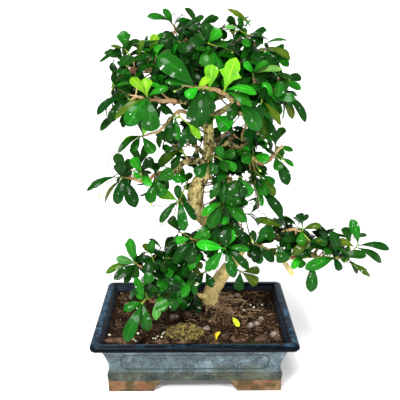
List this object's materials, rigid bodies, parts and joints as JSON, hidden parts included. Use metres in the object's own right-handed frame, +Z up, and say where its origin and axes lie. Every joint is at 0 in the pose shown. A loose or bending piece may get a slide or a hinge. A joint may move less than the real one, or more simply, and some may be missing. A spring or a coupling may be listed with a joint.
{
  "type": "s-shape fukien tea bonsai in a glazed pot",
  "caption": "Small broad-leaved bonsai with an S-curved trunk and loose pads of glossy leaves, in a shallow rectangular glazed pot on clay feet.",
  "frame": {"origin": "centre in plan of the whole tree's box, on the surface that the pot's feet stand on", "axes": "+Z up along the tree, +X to the right and -Y towards a viewer who sees the front of the tree"},
  "size_m": [0.368, 0.2058, 0.4529],
  "materials": {
    "glaze": "glossy mottled",
    "soil": "rough damp",
    "bark": "rough",
    "screen_plastic": "matte",
    "leaf": "waxy",
    "petal": "matte",
    "fallen_leaf": "dry"
  },
  "bodies": {
    "root": {"drain_screen_left": "screen_plastic", "drain_screen_right": "screen_plastic", "fallen_leaf_front": "fallen_leaf", "fallen_leaf_middle": "fallen_leaf", "flower_front": "petal", "pot": "glaze", "shoot_back_crown_left": "leaf", "shoot_back_crown_right": "leaf", "shoot_back_crown_top": "leaf", "shoot_back_low_right": "leaf", "shoot_back_middle_left": "leaf", "shoot_back_middle_right": "leaf", "shoot_crown_droop_end": "leaf", "shoot_crown_front_low": "leaf", "shoot_crown_front_right": "leaf", "shoot_crown_front_tip": "leaf", "shoot_crown_left_edge": "leaf", "shoot_crown_left_front": "leaf", "shoot_crown_left_out": "leaf", "shoot_crown_left_tip": "leaf", "shoot_crown_left_up": "leaf", "shoot_crown_right_edge": "leaf", "shoot_crown_right_high": "leaf", "shoot_crown_right_under": "leaf", "shoot_crown_right_upright": "leaf", "shoot_crown_spire": "leaf", "shoot_crown_top_front": "leaf", "shoot_crown_top_left_end": "leaf", "shoot_crown_top_middle": "leaf", "shoot_crown_upper_left": "leaf", "shoot_low_centre": "leaf", "shoot_low_front": "leaf", "shoot_low_front_left": "leaf", "shoot_low_left_bright": "leaf", "shoot_low_left_end": "leaf", "shoot_low_left_front_end": "leaf", "shoot_low_left_high": "leaf", "shoot_low_left_middle": "leaf", "shoot_low_right_front": "leaf", "shoot_low_right_hang": "leaf", "shoot_mid_front_low": "leaf", "shoot_mid_front_top": "leaf", "shoot_mid_left_end": "leaf", "shoot_mid_left_high": "leaf", "shoot_mid_left_inner": "leaf", "shoot_mid_left_middle": "leaf", "shoot_mid_low_left": "leaf", "shoot_mid_right_end": "leaf", "shoot_mid_right_hang": "leaf", "shoot_mid_right_low": "leaf", "shoot_mid_right_outer": "leaf", "shoot_right_big": "leaf", "shoot_right_end": "leaf", "shoot_right_rise": "leaf", "shoot_right_round": "leaf", "shoot_right_top": "leaf", "shoot_under_crown_front": "leaf", "shoot_under_crown_left": "leaf", "soil": "soil", "trunk": "bark"}
  },
  "joints": []
}
